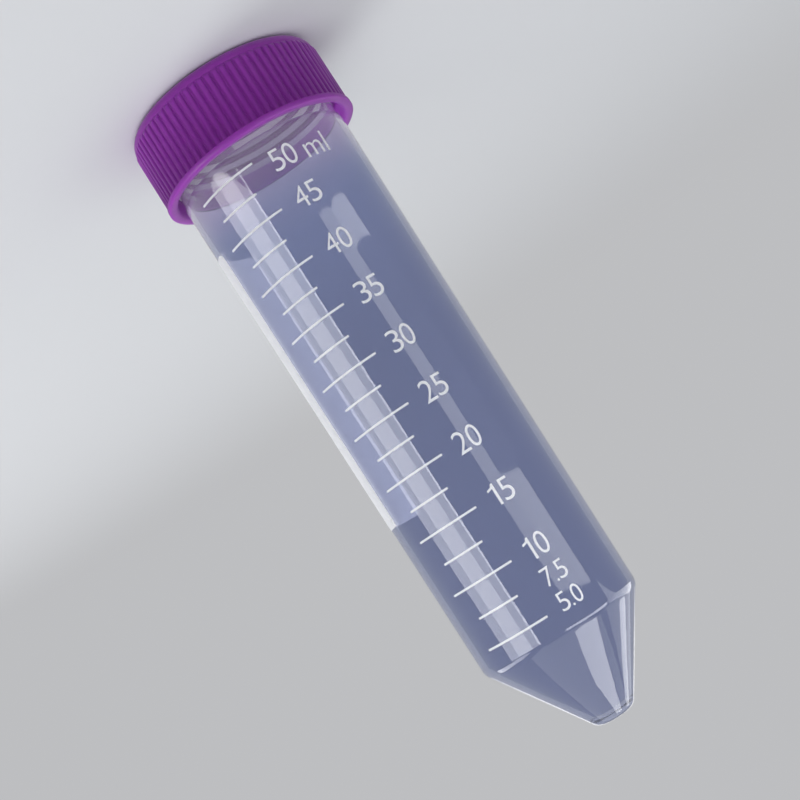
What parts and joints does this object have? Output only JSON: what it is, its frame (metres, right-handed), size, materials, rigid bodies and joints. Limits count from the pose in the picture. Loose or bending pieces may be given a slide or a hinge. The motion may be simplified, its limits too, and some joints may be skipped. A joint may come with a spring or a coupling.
{
  "type": "conical centrifuge tube with screw cap",
  "caption": "Graduated conical-bottom centrifuge tube of clear plastic, standing on its ribbed screw cap with a flanged rim, the cap unscrewing by a coupled turn and lift.",
  "frame": {"origin": "centre of the cap's flat top, the face the tube stands on", "axes": "+Z runs along the tube's axis from the cap to the conical tip, +X points to the middle of the scale"},
  "size_m": [0.0348, 0.0348, 0.1176],
  "materials": {
    "tube": "clear natural plastic, smooth",
    "cap": "purple moulded plastic, satin",
    "liner": "pale soft foam",
    "ink": "white screen-printed ink of the scale and the writing panel"
  },
  "bodies": {
    "cap": {"screw_cap": "cap"},
    "liner": {"cap_liner": "liner"},
    "tube": {"tube": "tube"}
  },
  "joints": [
    {"name": "tube_turn", "type": "hinge", "parent": "cap", "child": "liner", "pos_m": [0, 0, 0], "axis": [0, 0, 1], "range_deg": [0, 1080]},
    {"name": "tube_lift", "type": "slide", "parent": "liner", "child": "tube", "axis": [0, 0, 1], "range_m": [0, 0.01201]}
  ],
  "couplings": [
    {"joint": "tube_lift", "follows": "tube_turn", "m_per_rad": 0.00063662}
  ]
}
